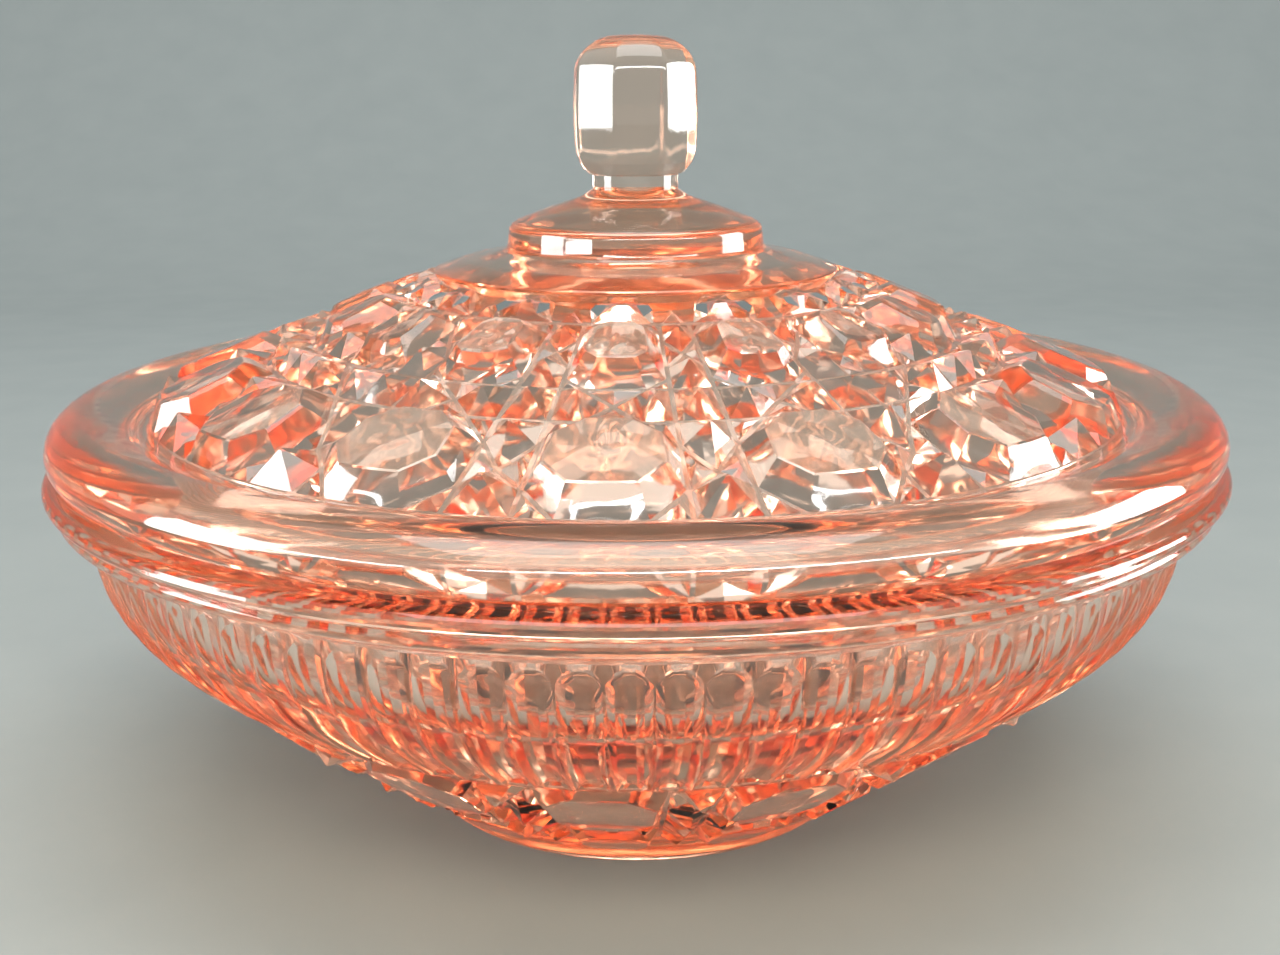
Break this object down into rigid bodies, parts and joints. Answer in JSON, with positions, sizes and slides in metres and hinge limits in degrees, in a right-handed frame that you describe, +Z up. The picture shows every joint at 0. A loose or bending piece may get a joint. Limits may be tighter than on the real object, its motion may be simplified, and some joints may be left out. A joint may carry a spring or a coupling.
{
  "type": "covered candy dish",
  "caption": "Round covered candy dish in pressed peach glass: a fluted bowl on a foot ring and a lift-off domed lid with faceted buttons and a faceted knob.",
  "frame": {"origin": "centre of the bowl's foot ring, on the surface that the dish stands on", "axes": "+Z up along the common axis of bowl and lid; -Y towards the front; +X to the right of it. The nearest button of the pattern is turned from -Y towards -X, by 3 degrees on the lid and by 4.3 degrees on the bowl"},
  "size_m": [0.182, 0.182, 0.12],
  "materials": {
    "bowl_glass": "clear tinted pressed glass, fire polished",
    "lid_glass": "clear tinted pressed glass, fire polished"
  },
  "bodies": {
    "bowl_body": {"bowl": "bowl_glass"},
    "lid_body": {"lid": "lid_glass"}
  },
  "joints": [
    {"name": "lid_lift", "type": "slide", "parent": "bowl_body", "child": "lid_body", "axis": [0, 0, 1], "range_m": [0, 0.08]}
  ]
}
